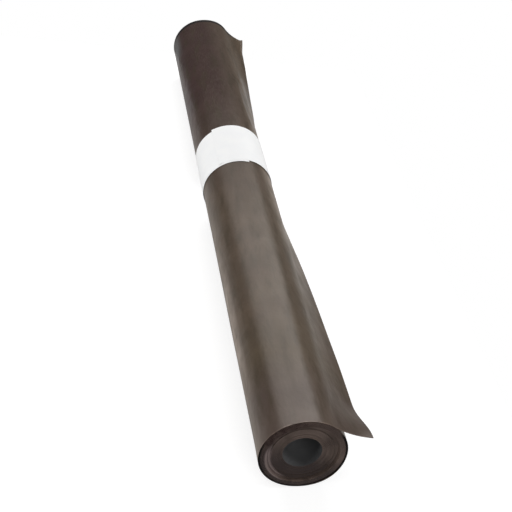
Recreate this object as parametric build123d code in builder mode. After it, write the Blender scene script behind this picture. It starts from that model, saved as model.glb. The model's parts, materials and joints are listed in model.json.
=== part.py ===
from build123d import *
import os
from math import cos, degrees, exp, pi, radians, sin

# A roll of building paper held by a white paper band, in millimetres. The roll lies along Y on a
# level floor, with Z up. The origin is on the axis of the bore, halfway along the sheet's width.
# Angles are in degrees about the bore, from +X towards +Z. The near end is the one at -Y.

# The sheet and the roll it is wound into
sheet_width = 1000.0
sheet_thickness = 0.3
roll_diameter = 102.0
bore_diameter = 44.8

# The ends of the roll. The outer turns are flush, and the turns inside them have slid along the bore:
# they lie deeper at the near end, and stand out as far at the far end, as one sheet must
flush_ring_width = 7.9
step_width = 3.1
step_slide = 3.6
bore_slide = 4.4
flush_groups = 3
step_groups = 4
slid_groups = 7
groove_width = 0.5
groove_depth = 0.6

# The free end of the sheet. It springs off the roll on both sides of the band
root_angle = 60.0
hug_angle = -10.0
tuck_angle = -20.0
tuck_step = 0.05
spring_angle = 50.0
settle_length = 195.0
ease_length = 60.0
near_curl_radius = 114.0
far_curl_radius = 89.0
near_corner_lift = 12.0
far_corner_lift = 4.0
corner_length = 60.0

# How the outermost turn is sunk in the turns under it, so that the sheet is one solid
embed_depth = 0.5
embed_fade = 16.0

# The paper band, wound round once and lapped on top
band_width = 97.5
band_thickness = 0.2
band_clearance = 0.1
band_start_y = 30.3
band_start_angle = 70.0
band_lap_angle = 50.0
band_drift = 3.7

# How finely the curved forms are drawn
section_points = 13
near_stations = 12
far_stations = 8
band_path_steps = 21

roll_radius = roll_diameter / 2
bore_radius = bore_diameter / 2
body_radius = roll_radius - sheet_thickness
near_end = -sheet_width / 2
far_end = sheet_width / 2
hold_start = band_start_y + band_drift
hold_end = hold_start + band_width


def polar(radius, angle):
    """Point of a cross-section at a radius and an angle about the bore."""
    return (radius * cos(radians(angle)), radius * sin(radians(angle)))


def smooth_rise(share):
    """Goes from 0 to 1 as share does, with no slope at either end."""
    share = min(max(share, 0.0), 1.0)
    return share * share * (3.0 - 2.0 * share)


# The turned body, which is every turn but the outermost


def slide_at(radius):
    """How far the turn of a given radius has slid along the bore."""
    depth_in = body_radius - radius
    if depth_in <= flush_ring_width:
        return 0.0
    if depth_in <= flush_ring_width + step_width:
        return step_slide * (depth_in - flush_ring_width) / step_width
    slid_width = body_radius - bore_radius - flush_ring_width - step_width
    share = (depth_in - flush_ring_width - step_width) / slid_width
    return step_slide + (bore_slide - step_slide) * share


def turn_groups():
    """Outer radius, inner radius and slide of each group of turns, from the outside in."""
    step_outer = body_radius - flush_ring_width
    step_inner = step_outer - step_width
    zones = (
        (body_radius, step_outer, flush_groups),
        (step_outer, step_inner, step_groups),
        (step_inner, bore_radius, slid_groups),
    )
    groups = []
    for outer, inner, count in zones:
        for k in range(count):
            group_outer = outer + (inner - outer) * k / count
            group_inner = outer + (inner - outer) * (k + 1) / count
            groups.append((group_outer, group_inner, slide_at((group_outer + group_inner) / 2)))
    return groups


def end_outline(end_y, inward):
    """Half outline of one end: a land for each group of turns, with a groove between groups."""
    groups = turn_groups()
    points = []
    for k, (outer, inner, slide) in enumerate(groups):
        first = outer if k == 0 else outer - groove_width / 2
        last = inner if k == len(groups) - 1 else inner + groove_width / 2
        points.append((-first, end_y + slide))
        points.append((-last, end_y + slide))
        if k < len(groups) - 1:
            next_slide = groups[k + 1][2]
            floor_slide = max(slide, next_slide) if inward > 0 else min(slide, next_slide)
            points.append((-inner, end_y + floor_slide + inward * groove_depth))
    return points


# The free end of the sheet


def lift_angle(y):
    """Angle at which the sheet leaves the roll, y along it. Under the band it hugs to its edge."""
    from_band = max(hold_start - y, y - hold_end, 0.0)
    sprung = spring_angle * (1.0 - exp(-from_band / settle_length)) * smooth_rise(from_band / ease_length)
    near_corner = near_corner_lift * (1.0 - smooth_rise((y - near_end) / corner_length))
    far_corner = far_corner_lift * (1.0 - smooth_rise((far_end - y) / corner_length))
    return hug_angle + sprung + near_corner + far_corner


def curl_radius(y):
    """Radius to which the sheet curls back once it has left the roll."""
    share = (y - near_end) / sheet_width
    return near_curl_radius + (far_curl_radius - near_curl_radius) * share


def sheet_point(y, travel, lift, inset):
    """Point of the free end's section, travel along the sheet from its root and inset under its face."""
    held = roll_radius * radians(root_angle - lift)
    if travel <= held:
        return polar(roll_radius - inset, root_angle - degrees(travel / roll_radius))
    curl = curl_radius(y)
    turned = degrees((travel - held) / curl)
    centre = polar(roll_radius + curl, lift)
    arm = polar(curl + inset, lift + 180.0 + turned)
    return (centre[0] + arm[0], centre[1] + arm[1])


def face_points(y, inner):
    """Points along the outer or the inner face of the free end, from its root to its edge."""
    lift = lift_angle(y)
    held = roll_radius * radians(root_angle - lift)
    length = roll_radius * radians(root_angle - hug_angle)
    points = []
    for k in range(section_points):
        travel = length * k / (section_points - 1)
        sunk = embed_depth * (1.0 - smooth_rise((travel - held) / embed_fade))
        inset = sheet_thickness + sunk if inner else 0.0
        points.append(sheet_point(y, travel, lift, inset))
    return points


def stations(start_y, end_y, count):
    """Stations between two places along the roll, closer together at both of them."""
    return [start_y + (end_y - start_y) * (1.0 - cos(pi * k / count)) / 2 for k in range(count + 1)]


near_free = stations(near_end, hold_start, near_stations)
held_flat = [hold_start, hold_end]
far_free = stations(hold_end, far_end, far_stations)

with BuildPart() as paper_roll:
    with BuildSketch(Plane.XY):
        with BuildLine():
            Polyline(*end_outline(near_end, 1), *reversed(end_outline(far_end, -1)), close=True)
        make_face()
    revolve(axis=Axis.Y)

    # The outermost turn, from where it slips under the free end round to the free end's root
    mid_angle = (root_angle + 360.0 + tuck_angle) / 2
    tuck_radius = body_radius + tuck_step
    sunk_radius = body_radius - embed_depth
    with BuildSketch(Plane.XZ.offset(-near_end)):
        with BuildLine():
            face = ThreePointArc(
                polar(roll_radius, root_angle),
                polar((roll_radius + tuck_radius) / 2, mid_angle),
                polar(tuck_radius, tuck_angle),
            )
            back = ThreePointArc(
                polar(sunk_radius, tuck_angle),
                polar(sunk_radius, mid_angle),
                polar(sunk_radius, root_angle),
            )
            Line(face @ 1, back @ 0)
            Line(back @ 1, face @ 0)
        make_face()
    extrude(amount=-sheet_width)

    # The free end, lofted through stations along the roll
    for row in (near_free, held_flat, far_free):
        for y in row:
            with BuildSketch(Plane.XZ.offset(-y)):
                with BuildLine():
                    face = Spline(*face_points(y, inner=False))
                    back = Spline(*face_points(y, inner=True))
                    Line(face @ 1, back @ 1)
                    Line(back @ 0, face @ 0)
                make_face()
        loft()

# The paper band, a strip wound round the roll. Each turn runs a little further along than the last


def band_spot(wound, along):
    """Middle of the strip's thickness, wound degrees from its start and along from its near edge."""
    layer = wound / 360.0
    inner_radius = roll_radius + band_clearance + (band_thickness + band_clearance) * layer
    x, z = polar(inner_radius + band_thickness / 2, band_start_angle + wound)
    return (x, band_start_y + band_drift * layer + along, z)


band_turn = 360.0 + band_lap_angle
band_steps = [band_turn * k / band_path_steps for k in range(band_path_steps + 1)]

with BuildPart() as paper_band:
    with BuildLine() as near_edge:
        Spline(*[band_spot(wound, 0.0) for wound in band_steps])
    with BuildLine() as middle:
        Spline(*[band_spot(wound, band_width / 2) for wound in band_steps])
    with BuildSketch(Plane(origin=middle.line @ 0, x_dir=(0, 1, 0), z_dir=middle.line % 0)):
        Rectangle(band_width, band_thickness)
    sweep(path=middle.line, binormal=near_edge.edge())

paper_roll.part.label = "paper_roll"
paper_band.part.label = "paper_band"
os.makedirs("parts", exist_ok=True)
export_step(paper_roll.part, "parts/paper_roll.step")
export_step(paper_band.part, "parts/paper_band.step")
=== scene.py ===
# %% [markdown]
# # A roll of building paper
#
# The object is one long sheet of dark building paper wound into a roll about a metre long. A white
# paper band holds the roll. The outermost turn has sprung off along one side of the roll, on both
# sides of the band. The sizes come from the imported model, which is loaded first. Its solids stay where
# they are, and the detailed pieces made below are shown in their place.

# %% Load the frame
import json
import math
import random

import bmesh
import bpy
from mathutils import Matrix, Vector, noise


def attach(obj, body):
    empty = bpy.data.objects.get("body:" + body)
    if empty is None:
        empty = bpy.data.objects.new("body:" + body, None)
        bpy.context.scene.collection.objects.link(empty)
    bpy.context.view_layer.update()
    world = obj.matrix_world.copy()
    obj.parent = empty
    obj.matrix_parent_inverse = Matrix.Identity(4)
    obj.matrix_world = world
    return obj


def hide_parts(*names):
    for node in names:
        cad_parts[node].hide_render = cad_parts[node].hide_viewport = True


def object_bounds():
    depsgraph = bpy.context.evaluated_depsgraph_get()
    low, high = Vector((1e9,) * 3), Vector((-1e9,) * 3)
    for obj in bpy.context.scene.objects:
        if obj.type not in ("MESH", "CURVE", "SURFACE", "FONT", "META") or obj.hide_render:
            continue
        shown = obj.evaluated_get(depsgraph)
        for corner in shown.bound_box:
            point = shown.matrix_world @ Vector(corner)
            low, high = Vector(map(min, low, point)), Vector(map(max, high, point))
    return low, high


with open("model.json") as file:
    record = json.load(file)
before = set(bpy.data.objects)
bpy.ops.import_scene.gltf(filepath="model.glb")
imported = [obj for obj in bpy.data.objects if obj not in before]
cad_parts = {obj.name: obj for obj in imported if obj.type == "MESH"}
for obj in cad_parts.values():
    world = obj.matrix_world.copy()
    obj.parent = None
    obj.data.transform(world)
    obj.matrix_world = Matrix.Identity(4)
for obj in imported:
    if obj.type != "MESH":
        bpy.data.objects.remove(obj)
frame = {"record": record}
cad_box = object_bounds()
print("size of the packed model:", [round(high - low, 4) for low, high in zip(*cad_box)])

# %% [markdown]
# ## The camera
#
# The photograph looks along the roll from one end, about 37 degrees down. The place, the turn and the
# lens below were found by fitting the rims and the edges of the roll to the ones in the photograph.

# %% Place the camera
camera_place = (-0.1822, -1.3580, 0.9410)
camera_down_deg = 37.188
camera_turn_deg = -8.576
lens_mm = 80.34
sensor_mm = 36.0

camera_data = bpy.data.cameras.new("camera")
camera_data.lens = lens_mm
camera_data.sensor_width = sensor_mm
camera = bpy.data.objects.new("camera", camera_data)
camera.location = camera_place
camera.rotation_euler = (math.radians(90.0 - camera_down_deg), 0.0, math.radians(camera_turn_deg))
bpy.context.collection.objects.link(camera)
bpy.context.scene.camera = camera
print("camera looks", camera_down_deg, "degrees down through a", lens_mm, "mm lens")

# %% [markdown]
# ## The roll in numbers
#
# A roll of paper is a spiral. Its radius grows by one sheet for each turn, so the bore, the outside and
# the number of turns settle how thick a turn is. The bore and the width of the sheet are read from the
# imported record, so that this file and the model agree.

# %% Sizes of the sheet and the roll
mm = 0.001
core_bore = next(mount for mount in frame["record"]["mounts"] if mount["name"] == "core_bore")
bore_radius = core_bore["dims"]["r_mm"] * mm
sheet_width = core_bore["dims"]["length_mm"] * mm
roll_radius = 51.0 * mm
turns = 95
pitch = (roll_radius - bore_radius) / turns
near_end = -sheet_width / 2
far_end = sheet_width / 2
print(turns, "turns of", round(pitch / mm, 3), "mm between the bore and the outside")

# %% [markdown]
# ## How the free end springs off
#
# Wound paper wants to be flat again. The band holds the outermost turn down, and with distance from the
# band the sheet leaves the roll sooner and sooner, which makes the long flared edge of the photograph.
# Both corners stand off a little more, and before the far corner the sheet lies a little closer again.
# It could be sculpted by hand. A formula is better here: paper bends but doesn't stretch, so each
# station along the roll is the same length of sheet, part of it on the roll and the rest curling back.

# %% Where the sheet leaves the roll
hug_angle = -10.0
least_lift = 3.0
spring_angle = 50.0
settle_length = 195.0 * mm
ease_length = 60.0 * mm
near_corner_lift = 12.0
near_corner_length = 68.0 * mm
far_corner_lift = 5.7
far_corner_length = 45.0 * mm
far_slack = 1.7
far_slack_start = 210.0 * mm
far_slack_ease = 100.0 * mm
near_curl_radius = 114.0 * mm
far_curl_radius = 89.0 * mm
hold_start = 34.0 * mm
hold_end = hold_start + 97.5 * mm


def smooth_rise(share):
    """Goes from 0 to 1 as share does, with no slope at either end."""
    share = min(max(share, 0.0), 1.0)
    return share * share * (3.0 - 2.0 * share)


def lift_angle(y):
    """Angle, in degrees about the bore, at which the sheet leaves the roll at a station along it."""
    from_band = max(hold_start - y, y - hold_end, 0.0)
    sprung = spring_angle * (1.0 - math.exp(-from_band / settle_length))
    sprung *= smooth_rise(from_band / ease_length)
    near_corner = near_corner_lift * (1.0 - smooth_rise((y - near_end) / near_corner_length))
    far_corner = far_corner_lift * (1.0 - smooth_rise((far_end - y) / far_corner_length))
    slack = far_slack * smooth_rise((y - far_slack_start) / far_slack_ease)
    return hug_angle + max(least_lift, sprung + near_corner + far_corner - slack)


def curl_radius(y):
    """Radius to which the free sheet curls back."""
    share = (y - near_end) / sheet_width
    return near_curl_radius + (far_curl_radius - near_curl_radius) * share


for y in (near_end, 0.0, hold_start, far_end):
    print("at y", round(y, 3), "the sheet leaves the roll at", round(lift_angle(y), 1), "degrees")

# %% [markdown]
# ## The crease beyond the band
#
# Between the band and the far end the outermost turn has buckled. A sharp crease runs along the roll
# there, and the sheet is flat beside it, so the two sides of the crease are two different tones. It could
# be painted on, but then it would stay put when the light moves. Here the sheet is flattened for real.

# %% Where the sheet is creased
crease_top_angle = 45.5
crease_fall_deg = 11.0
crease_settle = 90.0 * mm
crease_kink_deg = 12.0
crease_ease = 50.0 * mm
crease_stop = 312.0 * mm
crease_stop_length = 8.0 * mm
crease_ridge = 0.12 * mm


def crease_angle(y):
    """Angle of the crease, which runs lower as it comes up to the band."""
    return crease_top_angle - crease_fall_deg * (1.0 - smooth_rise((y - hold_end) / crease_settle))


def crease_share(y):
    """How much of the crease is left, y along the roll: 1 in the middle of it, 0 beyond its ends."""
    return smooth_rise((y - hold_end) / crease_ease) * smooth_rise((crease_stop - y) / crease_stop_length)


def flat_depth(angle_deg, y):
    """How far the flat below the crease lies inside a true cylinder."""
    kink = crease_kink_deg * crease_share(y)
    from_middle = abs(angle_deg - (crease_angle(y) - kink))
    if from_middle >= kink:
        return 0.0
    return roll_radius * (1.0 - math.cos(math.radians(kink)) / math.cos(math.radians(from_middle)))


print("crease at", round(crease_angle(crease_stop), 1), "degrees, down to", round(crease_angle(hold_end), 1))

# %% [markdown]
# ## Dents
#
# No roll is a true cylinder. The sheet has shallow flats and dents that show only as soft breaks in its
# highlights. They could be pushed in one by one with a brush. Smooth noise does it in one go, and it is
# the same each time the script runs. It is looked up on a circle, so it closes on itself round the roll.

# %% Dents in the surface
dent_depth = 0.85 * mm
dent_end_fade = 30.0 * mm
dent_middle = 0.5
broad_dent_share = 0.42
fine_dent_share = 0.14


def noise_on_roll(angle_deg, along, round_rate, along_rate, seed):
    """Smooth noise, about -1 to 1, at an angle about the bore and a place along it."""
    a = math.radians(angle_deg)
    place = Vector((round_rate * math.cos(a), round_rate * math.sin(a), along_rate * along + seed))
    return noise.noise(place)


def dent(angle_deg, y):
    """How far the surface lies inside a true cylinder."""
    broad = noise_on_roll(angle_deg, y, round_rate=1.7, along_rate=5.0, seed=3.0)
    fine = noise_on_roll(angle_deg, y, round_rate=4.0, along_rate=11.0, seed=9.0)
    depth = max(dent_middle + broad_dent_share * broad + fine_dent_share * fine, 0.0)
    fade = smooth_rise(min(y - near_end, far_end - y) / dent_end_fade)
    return dent_depth * depth * fade + flat_depth(angle_deg, y)


print("the top half-way along the roll lies", round(dent(90.0, 0.0) / mm, 2), "mm inside a true cylinder")

# %% [markdown]
# ## Where the outermost turn stands loose
#
# Nothing but the band holds the outermost turn. At the near end it stands off the turns under it, low on
# the right, and a dark gap shows there. At the far end the sheet rises in a soft shoulder, on both sides
# of where it leaves the roll. Both are small distances added to the radius, and both fade out along the
# roll, so the sheet stays in one piece.

# %% The loose turn and the shoulder
loose_angle = 303.0
loose_spread_deg = 45.0
loose_bulge = 1.3 * mm
loose_start_deg = 250.0
loose_gap = 0.35 * mm
loose_length = 110.0 * mm
closing_deg = 15.0
shoulder_angle = 52.0
shoulder_spread_deg = 38.0
shoulder_bulge = 1.4 * mm
shoulder_length = 80.0 * mm
shoulder_half_deg = 180.0


def shoulder(angle_deg, y):
    """How far the sheet stands off the roll at the far end, either side of where it leaves it."""
    share = 1.0 - abs(angle_deg - shoulder_angle) / shoulder_spread_deg
    return shoulder_bulge * smooth_rise(share) * smooth_rise(1.0 - (far_end - y) / shoulder_length)


def looseness(wound_deg, angle_deg, y):
    """How far the outermost turn stands off: its first half for the shoulder, the rest for the gap."""
    if wound_deg < shoulder_half_deg:
        return shoulder(angle_deg, y)
    bulge = loose_bulge * smooth_rise(1.0 - abs(angle_deg - loose_angle) / loose_spread_deg)
    gap = loose_gap * smooth_rise((angle_deg - loose_start_deg) / loose_spread_deg)
    closing = smooth_rise((360.0 - wound_deg) / closing_deg)
    return (bulge + gap) * closing * smooth_rise(1.0 - (y - near_end) / loose_length)


widest = looseness(loose_angle - lift_angle(near_end), loose_angle, near_end)
print("the outermost turn stands up to", round(widest / mm, 2), "mm off at the near end")

# %% [markdown]
# ## How the turns have slid
#
# The turns have slid a little along each other, which shows on the ends as rings and steps. At the near
# end the outermost ones lie flush, then come two steps, and from there on the turns lie deeper towards
# the bore. At the far end they stand out as far, because the sheet is as wide everywhere. Seeded draws
# give each turn its own small slip, so the rings come out the same each time.

# %% Slides of the turns
flush_ring_width = 7.9 * mm
step_width = 3.1 * mm
step_slide = 3.6 * mm
bore_slide = cad_box[1][1] - far_end
least_slide = 0.15 * mm
turn_seed = 4
jump_chance = 0.2
jump_mm = 0.45
jitter_mm = 0.05
sway_height = 0.3 * mm
sway_turns = 8.0
outer_calm = 0.35
calm_turns = 20.0

dice = random.Random(turn_seed)
turn_slips = []
level = 0.0
for turn in range(turns + 2):
    if dice.random() < jump_chance:
        level = dice.uniform(-jump_mm, jump_mm) * mm
    turn_slips.append(level + dice.uniform(-jitter_mm, jitter_mm) * mm)


def slide_at(radius):
    """How far the turns of a given radius have slid along the bore."""
    depth_in = roll_radius - radius
    if depth_in <= flush_ring_width:
        return 0.0
    if depth_in <= flush_ring_width + step_width:
        share = (depth_in - flush_ring_width) / step_width
        two_risers = share - math.sin(4.0 * math.pi * share) / (4.0 * math.pi)
        return step_slide * two_risers
    slid_width = roll_radius - bore_radius - flush_ring_width - step_width
    share = (depth_in - flush_ring_width - step_width) / slid_width
    return step_slide + (bore_slide - step_slide) * share


def slip(wound_deg, angle_deg):
    """Slide along the bore of the sheet's edge, wound_deg inwards from the free end's root."""
    turn = wound_deg / 360.0
    whole = int(turn)
    part = turn - whole
    own = turn_slips[whole] * (1.0 - part) + turn_slips[whole + 1] * part
    sway = noise_on_roll(angle_deg, turn, round_rate=0.9, along_rate=1.0 / sway_turns, seed=0.0)
    calm = outer_calm + (1.0 - outer_calm) * smooth_rise(turn / calm_turns)
    slid = slide_at(roll_radius - pitch * turn) + least_slide + (own + sway_height * sway) * calm
    return min(max(slid, 0.0), bore_slide)


print("the turns at the bore have slid", round(bore_slide / mm, 2), "mm")

# %% [markdown]
# ## The wound sheet as one mesh
#
# The outside is a grid: stations along the roll, and points round each one. Each ring of points runs
# from the free edge back over the outer face, once round the roll, and out again under the free end, so
# it closes on itself. A simpler way would be a cylinder with a ring texture, but it would have no gaps
# for light to fall into, and its free end would be stuck on. Columns of points run along the roll,
# evenly spaced before the band. Beyond it they shift, so that one of them runs along the crease and the
# next close beside it, which keeps the crease sharp.

# %% Columns of points round the roll
columns = 108
column_deg = 360.0 / columns
crease_column = 8
ridge_deg = 1.5


def polar(radius, angle_deg):
    """x and z at a radius and an angle about the bore."""
    a = math.radians(angle_deg)
    return radius * math.cos(a), radius * math.sin(a)


def column_angle(g, y):
    """Angle of a column of points, g columns round from where the sheet leaves the roll."""
    lift = lift_angle(y)
    even = lift + g * column_deg
    crease = crease_angle(y)
    if g <= crease_column:
        creased = lift + (crease - lift) * g / crease_column
    else:
        rest = (g - crease_column - 1) / (columns - crease_column - 1)
        creased = crease + ridge_deg + (lift + 360.0 - crease - ridge_deg) * rest
    past_band = smooth_rise((y - hold_start) / (hold_end - hold_start))
    before_end = smooth_rise((far_end - y) / (far_end - crease_stop))
    return even + (creased - even) * past_band * before_end


print(columns, "columns,", round(column_deg, 2), "degrees apart where they are even")

# %% [markdown]
# ## The free sheet
#
# Beyond where it leaves the roll, the sheet curls back in an arc. Near the far end its last few
# millimetres are bent further, to a lip that grows to a dog-ear at the corner. The lip is one more arc,
# with a smaller radius, that starts in line with the first, so no kink shows between them. Along the
# free edge the sheet also ripples a little, which keeps it from looking ruled.

# %% Points of the free sheet
lip_length = 4.0 * mm
lip_turn_deg = 40.0
lip_start = 365.0 * mm
dog_ear_length = 14.0 * mm
dog_ear_depth = 7.0 * mm
dog_ear_turn_deg = 42.0
ripple_height = 0.7 * mm
ripple_rate = 11.0
ripple_seed = 2.5
ripple_reach = 25.0 * mm
dent_reach = 15.0 * mm


def lip_of(y):
    """How long the bent lip of the free edge is, and the radius that it's bent to."""
    towards_end = smooth_rise((y - lip_start) / ease_length)
    at_corner = 1.0 - smooth_rise((far_end - y) / dog_ear_length)
    length = lip_length + (dog_ear_depth - lip_length) * at_corner
    turned = math.radians(lip_turn_deg + (dog_ear_turn_deg - lip_turn_deg) * at_corner) * towards_end
    return length, 1.0 / (1.0 / curl_radius(y) + turned / length)


def free_point(y, travel, inset):
    """x and z of the free sheet, travel from where it leaves the roll and inset under its outer face."""
    lift = lift_angle(y)
    curl = curl_radius(y)
    lip, lip_curl = lip_of(y)
    plain = min(travel, roll_radius * math.radians(lift - hug_angle) - lip)
    ripple = ripple_height * noise.noise(Vector((0.0, y * ripple_rate, ripple_seed)))
    inset -= ripple * smooth_rise(travel / ripple_reach)
    middle_x, middle_z = polar(roll_radius + curl, lift)
    arm_deg = lift + 180.0 + math.degrees(plain / curl)
    if travel > plain:
        shift_x, shift_z = polar(curl - lip_curl, arm_deg)
        middle_x += shift_x
        middle_z += shift_z
        arm_deg += math.degrees((travel - plain) / lip_curl)
        curl = lip_curl
    arm_x, arm_z = polar(curl + inset, arm_deg)
    settle = dent(lift, y) * (1.0 - smooth_rise(travel / dent_reach))
    dent_x, dent_z = polar(settle, lift)
    x = middle_x + arm_x - dent_x
    z = middle_z + arm_z - dent_z
    angle = math.degrees(math.atan2(z, x))
    out_x, out_z = polar(shoulder(angle, y), angle)
    return x + out_x, z + out_z


for y in (near_end, far_end):
    lip, lip_curl = lip_of(y)
    print("at y", round(y, 3), "the last", round(lip / mm, 1), "mm curl to", round(lip_curl / mm, 1), "mm")

# %% [markdown]
# ## Round one station
#
# One ring of points goes out and back along the free sheet, on its outer face and its inner face, with
# the whole turn of the roll between. The points crowd towards the free edge, where the lip bends most.
# Each point also keeps how much sheet lies between it and the free edge, which places it on the flat
# sheet for the fibre pattern later.

# %% Points round one station
free_columns = 16
edge_crowding = 1.5


def ring_of_points(y):
    """Round one station: (x, z, length along the sheet from its free edge, angle, degrees wound)."""
    lift = lift_angle(y)
    free_length = roll_radius * math.radians(lift - hug_angle)
    ring = []
    for k in range(free_columns):
        travel = free_length * (1.0 - (k / free_columns) ** edge_crowding)
        x, z = free_point(y, travel, 0.0)
        ring.append((x, z, free_length - travel, lift, 0.0))
    for g in range(columns + 1):
        angle = column_angle(g, y)
        wound = angle - lift
        radius = roll_radius - pitch * g / columns - dent(angle, y)
        radius += looseness(wound, angle, y)
        if g == crease_column:
            radius += crease_ridge * crease_share(y)
        x, z = polar(radius, angle)
        ring.append((x, z, free_length + roll_radius * math.radians(wound), angle, wound))
    for k in range(free_columns - 1, -1, -1):
        travel = free_length * (1.0 - (k / free_columns) ** edge_crowding)
        x, z = free_point(y, travel, pitch)
        ring.append((x, z, free_length - travel, lift, 0.0))
    return ring


print(len(ring_of_points(near_end)), "points round a station")

# %% [markdown]
# ## The outside of the roll
#
# The stations crowd towards the ends, where the slides and the dog-ear need more points. Neighbouring
# rings are joined by faces, and each face says which material it gets: the outer face of the sheet, its
# back under the free end, or its cut edge.

# %% Stations along the roll
station_count = 140
end_crowding = 0.06
points = []
lengths = []
faces = []
face_slots = []
FACE_SLOT = 0
EDGE_SLOT = 1
BACK_SLOT = 2


def add_point(x, y, z, length):
    """Keeps a point and its length of sheet from the free edge, and gives its number."""
    points.append((x, y, z))
    lengths.append(length)
    return len(points) - 1


def add_face(corners, slot):
    """Keeps a face and the number of its material."""
    faces.append(corners)
    face_slots.append(slot)


station_rows = []
for s in range(station_count + 1):
    share = s / station_count
    share -= end_crowding * math.sin(2.0 * math.pi * share)
    y = near_end + sheet_width * share
    at_end = s in (0, station_count)
    row = []
    for x, z, length, angle, wound in ring_of_points(y):
        row.append(add_point(x, y + (slip(wound, angle) if at_end else 0.0), z, length))
    station_rows.append(row)

ring_size = len(station_rows[0])
cut_edge = ring_size - 1
back_start = free_columns + columns
ring_slots = [FACE_SLOT] * back_start + [BACK_SLOT] * (cut_edge - back_start) + [EDGE_SLOT]
for near_row, far_row in zip(station_rows, station_rows[1:]):
    for k in range(ring_size):
        after = (k + 1) % ring_size
        add_face((near_row[k], near_row[after], far_row[after], far_row[k]), ring_slots[k])
print("outside:", len(points), "points")

# %% [markdown]
# ## The two ends
#
# Each end is a true spiral, from the outermost turn to the bore. Across the edge of each turn lie its
# two corners, and between it and the next turn a third point sits deeper, which makes the gap. Light
# fades in these gaps by itself, as it does between real turns.

# %% Spirals of the two ends
edge_share = 0.86
gap_share = 0.94
gap_depth = 0.3 * mm
loose_depth = 6.0
loose_share = 0.5
bore_columns = 25
last_column = (turns - 1) * columns + bore_columns


def wind_end(row, end_y, inward):
    """Closes one end with the spiral of the sheet's edge. Returns the outline of the bore there."""
    lift = lift_angle(end_y)
    outer = {g: row[free_columns + g] for g in range(columns + 1)}
    corner = {}
    gap = {}
    for g in range(last_column + 1):
        wound = g * column_deg
        angle = lift + wound
        radius = roll_radius - pitch * g / columns
        y = end_y + slip(wound, angle)
        length = lengths[row[free_columns]] + radius * math.radians(wound)
        loose = looseness(wound, angle, end_y) if g < columns else 0.0
        if g > columns:
            x, z = polar(radius, angle)
            outer[g] = add_point(x, y, z, length)
        x, z = polar(radius + loose - edge_share * pitch, angle)
        corner[g] = add_point(x, y, z, length)
        if g <= last_column - columns:
            x, z = polar(radius + loose_share * loose - gap_share * pitch, angle)
            gap[g] = add_point(x, y + inward * (gap_depth + loose_depth * loose), z, length)
    for g in range(last_column):
        add_face((outer[g], outer[g + 1], corner[g + 1], corner[g]), EDGE_SLOT)
        if g < last_column - columns:
            add_face((corner[g], corner[g + 1], gap[g + 1], gap[g]), FACE_SLOT)
            add_face((gap[g], gap[g + 1], outer[g + 1 + columns], outer[g + columns]), FACE_SLOT)
    for k in range(free_columns - 1):
        add_face((row[k], row[k + 1], row[ring_size - 2 - k], row[ring_size - 1 - k]), EDGE_SLOT)
    last = free_columns - 1
    root = (row[last], outer[0], corner[0], gap[0], outer[columns], row[ring_size - 1 - last])
    add_face(root, EDGE_SLOT)
    start = last_column - columns
    return [corner[g] for g in range(start, last_column + 1)] + [outer[last_column], gap[start]]


near_bore = wind_end(station_rows[0], near_end, 1)
far_bore = wind_end(station_rows[-1], far_end, -1)
print("with both ends:", len(points), "points")

# %% [markdown]
# ## The wall of the bore
#
# The innermost turn is the wall of the bore. It joins the outlines that the two spirals leave open, and
# it closes the mesh. It shows the back of the sheet.

# %% Wall of the bore
bore_stations = 8
bore_rows = [near_bore]
for s in range(1, bore_stations):
    share = s / bore_stations
    row = []
    for a, b in zip(near_bore, far_bore):
        x, y, z = (points[a][i] * (1.0 - share) + points[b][i] * share for i in range(3))
        row.append(add_point(x, y, z, lengths[a]))
    bore_rows.append(row)
bore_rows.append(far_bore)
for near_row, far_row in zip(bore_rows, bore_rows[1:]):
    for k in range(len(near_row)):
        after = (k + 1) % len(near_row)
        add_face((near_row[k], near_row[after], far_row[after], far_row[k]), BACK_SLOT)
print("with the bore:", len(points), "points and", len(faces), "faces")

# %% [markdown]
# ## From points to a mesh
#
# The points and faces become a mesh, with the place on the flat sheet as its UV map, in metres. Faces
# that meet at more than a set angle keep a sharp edge, so the cut edge stays crisp and the rest smooth.
# Paper is solid all through, so its mesh should have no open edges, and they are counted.

# %% Make the wound sheet
sharp_deg = 35.0


def mesh_from(name, points, faces, face_slots, lengths):
    """A mesh whose faces look outwards, with the place on the flat sheet as its UV map, in metres."""
    mesh = bpy.data.meshes.new(name)
    mesh.from_pydata(points, [], faces)
    mesh.polygons.foreach_set("material_index", face_slots)
    uv = mesh.uv_layers.new(name="sheet")
    for loop in mesh.loops:
        uv.data[loop.index].uv = (lengths[loop.vertex_index], points[loop.vertex_index][1])
    shape = bmesh.new()
    shape.from_mesh(mesh)
    bmesh.ops.recalc_face_normals(shape, faces=shape.faces)
    shape.to_mesh(mesh)
    shape.free()
    mesh.shade_smooth()
    mesh.set_sharp_from_angle(angle=math.radians(sharp_deg))
    return mesh


def open_edges(mesh):
    """Edges that don't have exactly two faces, which a closed mesh has none of."""
    shape = bmesh.new()
    shape.from_mesh(mesh)
    count = sum(not edge.is_manifold for edge in shape.edges)
    shape.free()
    return count


sheet_mesh = mesh_from("wound_sheet", points, faces, face_slots, lengths)
wound_sheet = bpy.data.objects.new("wound_sheet", sheet_mesh)
bpy.context.collection.objects.link(wound_sheet)
print("wound sheet:", len(faces), "faces,", open_edges(sheet_mesh), "open edges")

# %% [markdown]
# ## The band
#
# The band is a strip of thin white paper, wound once round the roll and lapped on top. Each turn of it
# runs a little further along the roll than the last, so its two ends don't quite line up, and a small
# step shows at each edge. Its outer end lifts a little, most at its two corners, and its edges waver by a
# fraction of a millimetre. A plain tube would do from afar, but it would have no lap.

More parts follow.
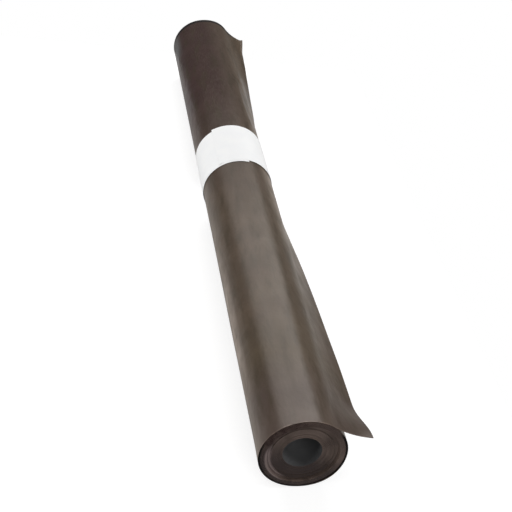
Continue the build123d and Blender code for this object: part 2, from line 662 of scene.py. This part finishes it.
# %% Points of the band
band_width = 97.5 * mm
band_thickness = 0.2 * mm
band_clearance = 0.09 * mm
band_start_y = 30.3 * mm
band_start_angle = 70.0
band_turn = 410.0
band_drift = 3.7 * mm
lap_lift = 0.5 * mm
lap_length_deg = 9.0
lap_middle = 0.35
edge_waver = 0.25 * mm
waver_deg = 40.0
waver_across = 3.0
waver_seed = 0.5


def band_point(wound, share, outer):
    """Point of the strip: wound degrees from its start, and share of the way across it."""
    layer = wound / 360.0
    radius = roll_radius + band_clearance + (band_thickness + band_clearance) * layer
    tail = smooth_rise((wound - (band_turn - lap_length_deg)) / lap_length_deg)
    to_edge = abs(2.0 * share - 1.0)
    radius += lap_lift * tail * (lap_middle + (1.0 - lap_middle) * to_edge ** 2)
    if outer:
        radius += band_thickness
    angle = band_start_angle + wound
    x, z = polar(radius, angle)
    waver = noise.noise(Vector((wound / waver_deg, waver_across * share, waver_seed)))
    y = band_start_y + band_drift * layer + band_width * share + edge_waver * waver * to_edge ** 4
    return x, y, z


print("the band laps by", band_turn - 360.0, "degrees")

# %% [markdown]
# ## The band as a mesh
#
# The strip is a grid along and across, twice over: an inner face and an outer one. A rim of narrow faces
# runs round its edge and closes the two into a thin solid.

# %% Build the band
band_columns = 205
band_rows = 20
band_points = []
band_lengths = []
for outer in (False, True):
    for i in range(band_columns + 1):
        wound = band_turn * i / band_columns
        for j in range(band_rows + 1):
            band_points.append(band_point(wound, j / band_rows, outer))
            band_lengths.append(roll_radius * math.radians(wound))

across = band_rows + 1
layer_size = (band_columns + 1) * across
band_faces = []
for i in range(band_columns):
    for j in range(band_rows):
        corner = i * across + j
        inside = (corner, corner + 1, corner + across + 1, corner + across)
        band_faces.append(inside)
        band_faces.append(tuple(layer_size + k for k in reversed(inside)))
rim = [i * across for i in range(band_columns + 1)]
rim += [band_columns * across + j for j in range(1, across)]
rim += [i * across + band_rows for i in range(band_columns - 1, -1, -1)]
rim += [j for j in range(band_rows - 1, 0, -1)]
for a, b in zip(rim, rim[1:] + rim[:1]):
    band_faces.append((a, b, layer_size + b, layer_size + a))

one_slot = [0] * len(band_faces)
band_mesh = mesh_from("band_strip", band_points, band_faces, one_slot, band_lengths)
band_strip = bpy.data.objects.new("band_strip", band_mesh)
bpy.context.collection.objects.link(band_strip)
print("band:", len(band_faces), "faces,", open_edges(band_mesh), "open edges")

# %% [markdown]
# ## Node helpers
#
# The materials are made of nodes. These few helpers add a node, set its inputs and link it, so that each
# material below reads as a short list of steps. Most steps make a mask, which is a number from 0 to 1
# over the surface, and lay a colour over the ones before it by that mask.


# %% Helpers for node trees
def add_node(tree, kind, **settings):
    """Adds a node of a kind, with its settings."""
    node = tree.nodes.new(kind)
    for name, value in settings.items():
        setattr(node, name, value)
    return node


def feed(tree, socket, source):
    """Links a socket to an output, or sets its value."""
    if isinstance(source, bpy.types.NodeSocket):
        tree.links.new(source, socket)
    else:
        socket.default_value = source


def maths(tree, operation, a, b=None, c=None):
    """The result of one sum on up to three numbers."""
    node = add_node(tree, "ShaderNodeMath", operation=operation)
    for socket, source in zip(node.inputs, (a, b, c)):
        if source is not None:
            feed(tree, socket, source)
    return node.outputs[0]


def stretch(tree, vector, scale):
    """A vector with each part scaled."""
    node = add_node(tree, "ShaderNodeVectorMath", operation="MULTIPLY")
    feed(tree, node.inputs[0], vector)
    feed(tree, node.inputs[1], scale)
    return node.outputs[0]


def noise_of(tree, vector, scale, detail=2.0, roughness=0.5):
    """Noise around 0.5, with about scale lumps to a metre."""
    node = add_node(tree, "ShaderNodeTexNoise")
    feed(tree, node.inputs["Vector"], vector)
    feed(tree, node.inputs["Scale"], scale)
    feed(tree, node.inputs["Detail"], detail)
    feed(tree, node.inputs["Roughness"], roughness)
    return node.outputs["Fac"]


def spread(tree, value, low, high, to_low=0.0, to_high=1.0):
    """Stretches low..high to to_low..to_high, clamped."""
    node = add_node(tree, "ShaderNodeMapRange")
    for name, number in (("Value", value), ("From Min", low), ("From Max", high)):
        feed(tree, node.inputs[name], number)
    feed(tree, node.inputs["To Min"], to_low)
    feed(tree, node.inputs["To Max"], to_high)
    return node.outputs["Result"]


def blend_colours(tree, share, a, b):
    """Colour a where share is 0, and b where it's 1."""
    node = add_node(tree, "ShaderNodeMix", data_type="RGBA")
    feed(tree, node.inputs["Factor"], share)
    feed(tree, node.inputs["A"], a)
    feed(tree, node.inputs["B"], b)
    return node.outputs["Result"]


def product(tree, *masks):
    """A mask that is only where all the given ones are. A number makes it weaker."""
    result = masks[0]
    for mask in masks[1:]:
        result = maths(tree, "MULTIPLY", result, mask)
    return result


def lay_over(tree, tone, *coats):
    """Lays colours over a tone in order, each by its own mask."""
    for mask, colour in coats:
        tone = blend_colours(tree, mask, tone, colour)
    return tone


def distance_from(tree, value, middle):
    """How far a value is from a middle, to either side."""
    return maths(tree, "ABSOLUTE", maths(tree, "SUBTRACT", value, middle))


# %% Helpers for places, colours and materials
def sheet_place_of(tree):
    """Where a shaded point is on the flat sheet, in metres."""
    return add_node(tree, "ShaderNodeUVMap", uv_map="sheet").outputs["UV"]


def place_of(tree):
    """Where a shaded point is in space, in metres, as a vector and as x, y and z."""
    where = add_node(tree, "ShaderNodeTexCoord").outputs["Object"]
    parts = add_node(tree, "ShaderNodeSeparateXYZ")
    feed(tree, parts.inputs["Vector"], where)
    return where, parts.outputs["X"], parts.outputs["Y"], parts.outputs["Z"]


def paint(red, green, blue):
    """An opaque colour, as shares of the light that it gives back."""
    return (red, green, blue, 1.0)


def new_material(name):
    """A new material, with its node tree and its shader."""
    material = bpy.data.materials.new(name)
    material.use_nodes = True
    return material, material.node_tree, material.node_tree.nodes["Principled BSDF"]


# %% [markdown]
# ## Paper fibre
#
# All the paper here is matted wood fibre, combed a little in the direction that the sheet ran through
# the machine, with broad clouds where the pulp settled thicker. The dark face, its back and the white
# band share one node group for it, each with its own sizes. An image of real paper would do as well,
# but it would repeat, and it couldn't be given other sizes.

# %% The fibre group
fibre = bpy.data.node_groups.new("paper fibre", "ShaderNodeTree")
for name, kind, value in (
    ("Place", "NodeSocketVector", None),
    ("Fibre Size", "NodeSocketFloat", 1.2 * mm),
    ("Combing", "NodeSocketFloat", 5.0),
    ("Cloud Size", "NodeSocketFloat", 30.0 * mm),
):
    socket = fibre.interface.new_socket(name, in_out="INPUT", socket_type=kind)
    if value is not None:
        socket.default_value = value
for name in ("Fibres", "Clouds", "Height"):
    fibre.interface.new_socket(name, in_out="OUTPUT", socket_type="NodeSocketFloat")

fibre_in = fibre.nodes.new("NodeGroupInput")
fibre_out = fibre.nodes.new("NodeGroupOutput")
fine_scale = maths(fibre, "DIVIDE", 1.0, fibre_in.outputs["Fibre Size"])
comb = add_node(fibre, "ShaderNodeCombineXYZ")
feed(fibre, comb.inputs["X"], maths(fibre, "DIVIDE", 1.0, fibre_in.outputs["Combing"]))
feed(fibre, comb.inputs["Y"], 1.0)
feed(fibre, comb.inputs["Z"], 1.0)
combed = stretch(fibre, fibre_in.outputs["Place"], comb.outputs["Vector"])
long_fibres = noise_of(fibre, combed, fine_scale, detail=3.0, roughness=0.6)
felt_scale = maths(fibre, "MULTIPLY", fine_scale, 0.6)
felt = noise_of(fibre, fibre_in.outputs["Place"], felt_scale, detail=4.0)
matted = maths(fibre, "ADD", long_fibres, maths(fibre, "MULTIPLY", felt, 0.5))
fibre_mask = spread(fibre, matted, 0.55, 0.95)
cloud_scale = maths(fibre, "DIVIDE", 1.0, fibre_in.outputs["Cloud Size"])
clouds = spread(fibre, noise_of(fibre, fibre_in.outputs["Place"], cloud_scale, detail=4.0), 0.3, 0.7)
feed(fibre, fibre_out.inputs["Fibres"], fibre_mask)
feed(fibre, fibre_out.inputs["Clouds"], clouds)
feed(fibre, fibre_out.inputs["Height"], long_fibres)
print("fibre group:", len(fibre.nodes), "nodes")

# %% Place the fibre group in a material
fibre_depth = 0.1 * mm


def place_fibre(tree, place, fibre_size, combing, cloud_size):
    """The fibre group with its own sizes, in metres. Combing is how many times longer fibres are drawn."""
    node = add_node(tree, "ShaderNodeGroup", node_tree=fibre)
    feed(tree, node.inputs["Place"], place)
    node.inputs["Fibre Size"].default_value = fibre_size
    node.inputs["Combing"].default_value = combing
    node.inputs["Cloud Size"].default_value = cloud_size
    return node


def raise_fibres(tree, surface, weave, strength, under=None):
    """Lets the fibres stand out a little, on top of a larger relief if there is one."""
    bump = add_node(tree, "ShaderNodeBump")
    bump.inputs["Strength"].default_value = strength
    bump.inputs["Distance"].default_value = fibre_depth
    feed(tree, bump.inputs["Height"], weave.outputs["Height"])
    if under is not None:
        feed(tree, bump.inputs["Normal"], under)
    feed(tree, surface.inputs["Normal"], bump.outputs["Normal"])


# %% [markdown]
# ## Where the outer face is rubbed and painted lighter
#
# The outer face is brown kraft paper soaked dark with bitumen. Handling has rubbed the near part shinier,
# and beyond the band it's dark and dull. The near part is also painted lighter than the far part, which is
# painted light: it stands in for the light that the near part catches. The change is gradual, so it's one
# mask that runs out along the roll, with noise added to the distance to make its edge wander. The colour,
# the roughness and the coat all use it, so they change together.

# %% Rubbed part of the outer face
face_material, tree, surface = new_material("building paper face")
sheet_place = sheet_place_of(tree)
where, x_here, y_here, z_here = place_of(tree)
weave = place_fibre(tree, sheet_place, 1.0 * mm, 6.0, 45.0 * mm)
wander = maths(tree, "MULTIPLY_ADD", noise_of(tree, where, 7.0), 120.0 * mm, y_here)
# Painted light as well as rubbing: this mask makes the near part lighter in colour, and shinier.
rubbed_and_lit = spread(tree, wander, -20.0 * mm, 320.0 * mm, 1.0, 0.0)
print("new material:", face_material.name)

# %% [markdown]
# ## Colour of the near part
#
# The near part is grey-brown in broad clouds, greener in places and pinker at its end. A paler streak along
# its right side is a painted highlight, beside the band its right edge carries a brighter painted highlight,
# and pale patches on its upper left flank are a painted reflection. Each mark could be drawn on an image.
# Here each is a colour with a mask made from distances and noise, which stays sharp close up and can be
# moved by one number.

# %% Colour of the near part
near_dark = paint(0.051, 0.0375, 0.027)
near_light = paint(0.079, 0.058, 0.042)
olive_brown = paint(0.058, 0.047, 0.025)
pinkish_brown = paint(0.050, 0.036, 0.036)
highlight_streak_brown = paint(0.105, 0.083, 0.066)
highlight_edge_brown = paint(0.200, 0.162, 0.128)
rim_reflection_paper = paint(0.260, 0.225, 0.205)
highlight_streak_x = 27.0 * mm
reflection_y = -280.0 * mm

olive = spread(tree, noise_of(tree, where, 9.0), 0.45, 0.65, 0.0, 0.4)
pink = spread(tree, y_here, near_end + 60.0 * mm, near_end + 120.0 * mm, 0.6, 0.0)
# Painted highlight: a paler streak along the right side.
highlight_streak = spread(tree, distance_from(tree, x_here, highlight_streak_x), 4.0 * mm, 14.0 * mm, 0.35, 0.0)
# Painted highlight: the right edge beside the band is paler.
highlight_beside_band = spread(tree, y_here, -180.0 * mm, 20.0 * mm)
highlight_right_edge = spread(tree, x_here, 31.0 * mm, 43.0 * mm)
# Painted reflection: pale patches on the upper left flank, strongest at one place along the roll.
reflection_left_edge = spread(tree, x_here, -50.0 * mm, -44.0 * mm, 1.0, 0.0)
reflection_upper_flank = spread(tree, z_here, -6.0 * mm, 8.0 * mm)
reflection_patches = spread(tree, noise_of(tree, where, 45.0, detail=4.0), 0.35, 0.55, 0.5, 1.0)
reflection_fade = spread(tree, distance_from(tree, y_here, reflection_y), 60.0 * mm, 140.0 * mm, 1.0, 0.25)
near_tone = lay_over(
    tree,
    blend_colours(tree, weave.outputs["Clouds"], near_dark, near_light),
    (olive, olive_brown),
    (pink, pinkish_brown),
    (highlight_streak, highlight_streak_brown),
    (product(tree, highlight_beside_band, highlight_right_edge), highlight_edge_brown),
    (product(tree, reflection_left_edge, reflection_upper_flank, reflection_patches, reflection_fade), rim_reflection_paper),
)
print("near part:", len(tree.nodes), "nodes")

# %% [markdown]
# ## Colour of the far part
#
# The far part is a dark reddish brown. Towards its right side it turns tan and lighter, and the lightness
# there is painted light. A paler strip where the sheet leaves the roll is a painted reflection, and so is a
# grey patch on its upper left side near the end. Its marks are made in the same way, so that the two parts
# can be blended by the rubbed mask afterwards.

# %% Colour of the far part
far_dark = paint(0.030, 0.0145, 0.0135)
far_light = paint(0.042, 0.0215, 0.0195)
lit_tan = paint(0.092, 0.067, 0.044)
reflection_tan = paint(0.150, 0.112, 0.080)
reflection_grey = paint(0.122, 0.126, 0.126)

# Painted light: tan and lighter towards the right side.
lit_tan_side = spread(tree, x_here, 0.0, 44.0 * mm, 0.0, 0.85)
# Painted reflection: a paler strip where the sheet leaves the roll.
reflection_strip_rise = spread(tree, x_here, 31.0 * mm, 42.0 * mm, 0.0, 0.5)
reflection_strip_fall = spread(tree, x_here, 48.0 * mm, 58.0 * mm, 0.5, 0.0)
reflection_strip_end = spread(tree, y_here, 400.0 * mm, 460.0 * mm, 1.0, 0.2)
# Painted reflection: a grey patch on the upper left side near the far end.
reflection_side = spread(tree, x_here, -51.0 * mm, -40.0 * mm, 1.0, 0.0)
reflection_end = spread(tree, y_here, 410.0 * mm, 455.0 * mm)
reflection_top = spread(tree, z_here, 0.0, 14.0 * mm)
far_tone = lay_over(
    tree,
    blend_colours(tree, weave.outputs["Clouds"], far_dark, far_light),
    (lit_tan_side, lit_tan),
    (product(tree, maths(tree, "MINIMUM", reflection_strip_rise, reflection_strip_fall), reflection_strip_end), reflection_tan),
    (product(tree, reflection_side, reflection_end, reflection_top), reflection_grey),
)
print("both parts:", len(tree.nodes), "nodes")

# %% [markdown]
# ## Flecks, stains and rims
#
# Over both parts lie pale fibres and dark stains, the stains drawn out along the roll. The last two
# millimetres beside each cut edge are rubbed lighter in patches. On top of the far end a strip is painted
# black. These come last so that they lie over everything else.

# %% Flecks, stains and rims
fleck = paint(0.110, 0.090, 0.076)
stain_brown = paint(0.034, 0.025, 0.014)
bare_fibre = paint(0.190, 0.150, 0.130)
far_rim_black = paint(0.005, 0.005, 0.006)
fleck_share = 0.10
rim_width = 2.2 * mm

drawn_out = stretch(tree, sheet_place, (1.0, 0.22, 1.0))
stained = noise_of(tree, drawn_out, 85.0, detail=4.0, roughness=0.6)
patchy = spread(tree, noise_of(tree, where, 110.0, detail=3.0), 0.35, 0.65)
rims = spread(tree, maths(tree, "ABSOLUTE", y_here), far_end - rim_width, far_end)
# A black strip painted on top of the far end.
far_rim = spread(tree, y_here, far_end - 9.0 * mm, far_end - 7.0 * mm)
on_top = spread(tree, z_here, 10.0 * mm, 25.0 * mm)
thinned = spread(tree, patchy, 0.0, 1.0, 1.0, 0.85)
# The blend by the rubbed mask paints the near part lighter than the far part, which is painted light.
tone = lay_over(
    tree,
    blend_colours(tree, rubbed_and_lit, far_tone, near_tone),
    (product(tree, weave.outputs["Fibres"], fleck_share), fleck),
    (spread(tree, stained, 0.48, 0.66, 0.0, 0.6), stain_brown),
    (product(tree, rims, patchy), bare_fibre),
    (product(tree, far_rim, on_top, thinned), far_rim_black),
)
feed(tree, surface.inputs["Base Color"], tone)
print("colour of the outer face:", len(tree.nodes), "nodes")

# %% [markdown]
# ## Gloss of the outer face
#
# Bitumen gives the sheet a dull, brownish sheen, smeared in patches. The rubbed part is polished on top
# of that, most at the near end, which is a second gloss over the first. The shader has a coat for it.
# Numbers that are the same all over are set on the shader itself, and only what changes gets nodes.

# %% Gloss of the outer face
base_roughness = 0.30
near_end_polish = 0.50
near_polish = 0.40
polish_length = 100.0 * mm

smears = spread(tree, noise_of(tree, sheet_place, 28.0, detail=3.0), 0.3, 0.7)
smeared = product(tree, smears, spread(tree, rubbed_and_lit, 0.0, 1.0, 0.04, 0.14))
feed(tree, surface.inputs["Roughness"], maths(tree, "ADD", smeared, base_roughness))
surface.inputs["Specular IOR Level"].default_value = 0.125
surface.inputs["Specular Tint"].default_value = paint(1.0, 0.76, 0.56)
polish = spread(tree, y_here, near_end, near_end + polish_length, near_end_polish, near_polish)
feed(tree, surface.inputs["Coat Weight"], product(tree, rubbed_and_lit, polish))
surface.inputs["Coat Roughness"].default_value = 0.36
surface.inputs["Coat Tint"].default_value = paint(1.0, 0.865, 0.715)
print("polish from", near_end_polish, "at the near end to", near_polish)

# %% [markdown]
# ## Relief of the outer face
#
# Damp makes paper cockle: it swells in soft waves, too shallow to model, that break up its highlights.
# Two bumps are chained for it, first the cockles and then the fibres on top.

# %% Relief of the outer face
cockle_depth = 0.85 * mm
cockles = add_node(tree, "ShaderNodeBump")
cockles.inputs["Distance"].default_value = cockle_depth
cockle_place = stretch(tree, sheet_place, (1.0, 0.5, 1.0))
feed(tree, cockles.inputs["Height"], noise_of(tree, cockle_place, 85.0))
raise_fibres(tree, surface, weave, 0.25, cockles.outputs["Normal"])
print("outer face:", len(tree.nodes), "nodes")

# %% [markdown]
# ## The back of the sheet
#
# The back shows inside the bore and under the free end. It's a grey coating, duller than the face, painted
# light enough to stand in for light deep in the bore, and darker for a few centimetres from each end.

# %% Material of the back
back_light = paint(0.145, 0.145, 0.148)
back_dark = paint(0.100, 0.100, 0.100)
back_end_dark = paint(0.050, 0.050, 0.052)
end_dark_reach = 30.0 * mm

back_material, tree, surface = new_material("building paper back")
weave = place_fibre(tree, sheet_place_of(tree), 1.0 * mm, 6.0, 30.0 * mm)
_, _, y_here, _ = place_of(tree)
tone = blend_colours(tree, weave.outputs["Clouds"], back_dark, back_light)
# Darker within a few centimetres of each end, against the painted light deeper in.
from_end = maths(tree, "SUBTRACT", far_end, maths(tree, "ABSOLUTE", y_here))
tone = blend_colours(tree, spread(tree, from_end, 0.0, end_dark_reach, 0.85, 0.0), tone, back_end_dark)
feed(tree, surface.inputs["Base Color"], tone)
feed(tree, surface.inputs["Roughness"], spread(tree, weave.outputs["Fibres"], 0.0, 1.0, 0.55, 0.65))
surface.inputs["Specular IOR Level"].default_value = 0.25
raise_fibres(tree, surface, weave, 0.25)
print("back:", len(tree.nodes), "nodes")

# %% [markdown]
# ## The cut edges
#
# Each end of the roll is the sheet's edge, ninety-five times over. Some turns were cut cleaner than
# others, so the rings differ in tone, in blotches. The real turns are there in the mesh already, so the
# material only colours them. Noise that is looked up by the radius makes the rings, and a little more of
# it lets them wander.

# %% Rings of the cut edges
edge_dark = paint(0.066, 0.049, 0.042)
edge_light = paint(0.165, 0.125, 0.107)
ring_wander = 1.2 * mm

edge_material, tree, surface = new_material("building paper edges")
where, x_here, _, z_here = place_of(tree)
flat = stretch(tree, where, (1.0, 0.0, 1.0))
radial = add_node(tree, "ShaderNodeVectorMath", operation="LENGTH")
feed(tree, radial.inputs[0], flat)
radius_here = radial.outputs["Value"]
wandering = maths(tree, "MULTIPLY_ADD", noise_of(tree, where, 55.0), ring_wander, radius_here)
ring_place = add_node(tree, "ShaderNodeCombineXYZ")
feed(tree, ring_place.inputs["X"], wandering)
rings = noise_of(tree, ring_place.outputs["Vector"], 380.0, detail=4.0, roughness=0.7)
rings = spread(tree, rings, 0.32, 0.68)
blotch = spread(tree, noise_of(tree, where, 38.0, detail=3.0), 0.3, 0.6)
tone = blend_colours(tree, product(tree, rings, blotch), edge_dark, edge_light)
print("new material:", edge_material.name)

# %% [markdown]
# ## Painted light and shade on the sides of the ends
#
# The outermost turns are darker, and at the upper right they carry painted shade as well. Painted light
# makes the inner turns lighter on top, and the outer ones on the right. A mask for one side comes from the
# dot product of two directions: outwards from the bore, and the side's own.

# %% Sides of the cut edges
outer_brown = paint(0.050, 0.033, 0.030)
shade_brown = paint(0.036, 0.025, 0.023)

outwards = add_node(tree, "ShaderNodeVectorMath", operation="NORMALIZE")
feed(tree, outwards.inputs[0], flat)


def towards(angle_deg):
    """1 on the side of the end that lies at an angle about the bore, down to -1 on the other side."""
    a = math.radians(angle_deg)
    side = add_node(tree, "ShaderNodeVectorMath", operation="DOT_PRODUCT")
    feed(tree, side.inputs[0], outwards.outputs["Vector"])
    side.inputs[1].default_value = (math.cos(a), 0.0, math.sin(a))
    return side.outputs["Value"]


def radius_between(low_share, high_share, to_low=0.0, to_high=1.0):
    """A mask by the radius, which is given as two shares of the roll's own."""
    return spread(tree, radius_here, low_share * roll_radius, high_share * roll_radius, to_low, to_high)


mottle = spread(tree, noise_of(tree, where, 75.0), 0.4, 0.58, 0.2, 0.6)
outer_ring = spread(tree, radius_here, roll_radius - flush_ring_width, roll_radius - 7.0 * mm)
# Painted shade: the outer turns darker at the upper right, below the free end.
shaded_upper_right = spread(tree, towards(50.0), 0.84, 0.96, 0.0, 0.5)
# Painted light: inner turns lighter on top, and outer turns lighter on the right.
inner_turns = radius_between(0.69, 0.75, 1.0, 0.0)
top = spread(tree, towards(85.0), 0.80, 0.97, 0.0, 0.35)
outer_turns = radius_between(0.67, 0.74)
right = spread(tree, towards(342.0), 0.72, 0.94, 0.0, 0.3)
tone = lay_over(
    tree,
    tone,
    (product(tree, outer_ring, mottle), outer_brown),
    (product(tree, outer_ring, shaded_upper_right), shade_brown),
    (product(tree, inner_turns, top), edge_light),
    (product(tree, outer_turns, right), edge_light),
)
print("with its sides:", len(tree.nodes), "nodes")

# %% [markdown]
# ## Painted shade and light, and dark rims, on the ends
#
# At the upper left, a ring of the turns is darkened in patches with painted shade. The lower half is darker,
# up to a slanted line with noise added to it, so no edge is straight. On the left a pale crescent, split by
# a darker line, is painted light on the step where the turns slide back, and the outermost turns are black
# all round but on top.

# %% Painted shade and light on the cut edges
shade_ring_brown = paint(0.026, 0.015, 0.014)
lower_brown = paint(0.036, 0.028, 0.028)
lit_crescent = paint(0.225, 0.176, 0.168)
outer_turns_black = paint(0.003, 0.002, 0.002)
lower_slant = 0.4

# Painted shade: a ring at the upper left, darker in patches.
shaded_ring = radius_between(0.72, 0.79)
shaded_side = spread(tree, towards(125.0), 0.6, 0.9, 0.0, 0.85)
shade_patches = spread(tree, noise_of(tree, where, 150.0), 0.40, 0.58, 0.5, 1.15)
# Darker towards the bottom, up to a slanted line that wanders.
drift = maths(tree, "MULTIPLY_ADD", noise_of(tree, where, 45.0), 30.0 * mm, z_here)
drift = maths(tree, "MULTIPLY_ADD", x_here, lower_slant, drift)
darker_below = spread(tree, drift, -8.0 * mm, 20.0 * mm, 0.85, 0.0)

# Painted light: a pale crescent on the step at the left, split along its middle by a darker line.
crescent_radius = spread(tree, towards(270.0), 0.0, 1.0, 0.775 * roll_radius, 0.825 * roll_radius)
crescent_width = spread(tree, towards(180.0), 0.70, 1.0, 1.0, 1.5)
from_crescent = maths(tree, "DIVIDE", distance_from(tree, radius_here, crescent_radius), crescent_width)
crescent_outline = spread(tree, from_crescent, 1.6 * mm, 3.2 * mm, 1.0, 0.0)
crescent_split = spread(tree, from_crescent, 0.2 * mm, 0.7 * mm, 0.35, 1.0)
crescent_side = spread(tree, towards(198.0), 0.70, 0.90, 0.0, 0.9)

# The outermost turns are painted black, except near the top.
last_turns = spread(tree, radius_here, roll_radius - 3.0 * mm, roll_radius - 2.3 * mm)
below_top = spread(tree, z_here, 20.0 * mm, 27.0 * mm, 1.0, 0.0)
tone = lay_over(
    tree,
    tone,
    (product(tree, shaded_ring, shaded_side, shade_patches), shade_ring_brown),
    (darker_below, lower_brown),
    (product(tree, crescent_outline, crescent_split, crescent_side), lit_crescent),
    (product(tree, last_turns, below_top), outer_turns_black),
)
feed(tree, surface.inputs["Base Color"], tone)
surface.inputs["Specular IOR Level"].default_value = 0.08
surface.inputs["Roughness"].default_value = 0.75
print("cut edges:", len(tree.nodes), "nodes")

# %% [markdown]
# ## The white paper of the band
#
# The band is plain white paper, uncoated and dull. Its fibres are finer than the building paper's. Its
# colour is a little under white, so that it doesn't clip where a lamp shines on it.

# %% Material of the band
band_shade = paint(0.86, 0.865, 0.87)
band_white = paint(0.89, 0.89, 0.885)

band_material, tree, surface = new_material("band paper")
weave = place_fibre(tree, sheet_place_of(tree), 0.8 * mm, 4.0, 20.0 * mm)
tone = blend_colours(tree, weave.outputs["Clouds"], band_shade, band_white)
feed(tree, surface.inputs["Base Color"], tone)
surface.inputs["Roughness"].default_value = 0.7
raise_fibres(tree, surface, weave, 0.2)
print("band:", len(tree.nodes), "nodes")

# %% [markdown]
# ## Give the pieces their materials and their places
#
# The order in which a mesh gets its materials is the order of the slot numbers on its faces. Both pieces
# ride on the one body of the model, and each is shown in place of its solid.

# %% Materials and bodies of the pieces
sheet_mesh.materials.append(face_material)
sheet_mesh.materials.append(edge_material)
sheet_mesh.materials.append(back_material)
band_mesh.materials.append(band_material)

for piece, node, slot in (
    (wound_sheet, "paper_roll", "building_paper"),
    (band_strip, "paper_band", "band_paper"),
):
    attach(piece, "root")
    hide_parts(node)

# %% [markdown]
# ## The floor
#
# The photograph is a cut-out on pure white. The floor is pale, and gives light of its own to the camera
# and a share of it to reflections, which makes it white without lighting the roll more. The glossy
# flanks of the roll mirror it, so its outline matters: it ends close on the right, and its far edge is
# slanted, so that each flank is bright only as far along as it is in the photograph.

# %% Floor
floor_left = -0.9
floor_right = 0.27
floor_near = -1.0
floor_far_left = 0.90
floor_far_right = 0.46
floor_z = cad_box[0][2]
floor_mesh = bpy.data.meshes.new("floor")
floor_corners = [
    (floor_left, floor_near, floor_z),
    (floor_right, floor_near, floor_z),
    (floor_right, floor_far_right, floor_z),
    (floor_left, floor_far_left, floor_z),
]
floor_mesh.from_pydata(floor_corners, [], [(0, 1, 2, 3)])
floor = bpy.data.objects.new("floor", floor_mesh)
bpy.context.collection.objects.link(floor)
print("floor at z", round(floor_z, 4))

# %% Material of the floor
floor_glow = 0.72
floor_mirror_share = 0.35


def background_rays(tree, mirror_share):
    """1 for the rays of the camera, and mirror_share for those of reflections and glass."""
    ray = add_node(tree, "ShaderNodeLightPath").outputs
    mirrored = maths(tree, "MAXIMUM", ray["Is Glossy Ray"], ray["Is Transmission Ray"])
    return maths(tree, "MULTIPLY_ADD", mirrored, mirror_share, ray["Is Camera Ray"])


floor_material, tree, surface = new_material("floor")
surface.inputs["Base Color"].default_value = paint(0.45, 0.45, 0.45)
surface.inputs["Roughness"].default_value = 0.9
surface.inputs["Emission Color"].default_value = paint(1.0, 1.0, 1.0)
glow = maths(tree, "MULTIPLY", background_rays(tree, floor_mirror_share), floor_glow)
feed(tree, surface.inputs["Emission Strength"], glow)
floor_mesh.materials.append(floor_material)
print("the floor glows at", floor_glow, "of white, and at", floor_mirror_share, "of that in reflections")

# %% [markdown]
# ## The world
#
# The world behind the floor is white to the camera. It lights the roll from all sides, but only a
# little, so that the lamps still shape it. A trace of its white shows in reflections too. The Standard
# view keeps colours about as they are written.

# %% World
fill_level = 0.18
world_mirror_share = 0.05
bpy.context.scene.view_settings.view_transform = "Standard"
world = bpy.data.worlds.new("studio")
bpy.context.scene.world = world
world.use_nodes = True
tree = world.node_tree
background = tree.nodes["Background"]
background.inputs["Color"].default_value = paint(1.0, 1.0, 1.0)
seen = background_rays(tree, world_mirror_share)
strength = maths(tree, "MULTIPLY_ADD", seen, 1.0 - fill_level, fill_level)
feed(tree, background.inputs["Strength"], strength)
print("the world lights the roll at", fill_level, "of white")

# %% [markdown]
# ## The lamps
#
# Three softboxes stand in an arch beyond the far end. The camera looks along the roll, so it sees each
# of them as a long highlight, on the right, the top and the left. Three wide fills at the front and the
# sides light the near end and the flanks. Smaller lamps would make hard, narrow highlights.


# %% Lamps
def soft_lamp(name, place, aim, along, width, height, power):
    """A rectangular lamp at place that faces aim, with its width as near as it can lie to along."""
    data = bpy.data.lights.new(name, "AREA")
    data.shape = "RECTANGLE"
    data.size = width
    data.size_y = height
    data.energy = power
    back = (Vector(place) - Vector(aim)).normalized()
    side = Vector(along)
    side = (side - back * side.dot(back)).normalized()
    lamp = bpy.data.objects.new(name, data)
    turn = Matrix((side, back.cross(side), back)).transposed().to_4x4()
    lamp.matrix_world = Matrix.Translation(place) @ turn
    bpy.context.collection.objects.link(lamp)


arch_distance = 4.0
arch_rise_deg = 47.5
softbox_width = 1.85
softbox_height = 1.25
roll_middle = (0.0, 0.0, 0.0)
near_part = (0.0, -0.3, 0.0)
arch_radius = arch_distance * math.sin(math.radians(arch_rise_deg))
arch_y = arch_distance * math.cos(math.radians(arch_rise_deg))
for name, arch_deg, power in (
    ("right softbox", 53.5, 44.0),
    ("top softbox", 89.0, 44.0),
    ("left softbox", 120.5, 36.0),
):
    x, z = polar(arch_radius, arch_deg)
    tangent = (-z, 0.0, x)
    soft_lamp(name, (x, arch_y, z), roll_middle, tangent, softbox_width, softbox_height, power)
for name, place, width, power in (
    ("front fill", (0.5, -3.0, 1.4), 1.8, 34.0),
    ("right fill", (2.6, -1.2, 0.9), 1.2, 40.0),
    ("left fill", (-2.6, -0.6, 0.35), 1.2, 42.0),
):
    soft_lamp(name, place, near_part, (place[1], -place[0], 0.0), width, width, power)
print(len(bpy.data.lights), "lamps")
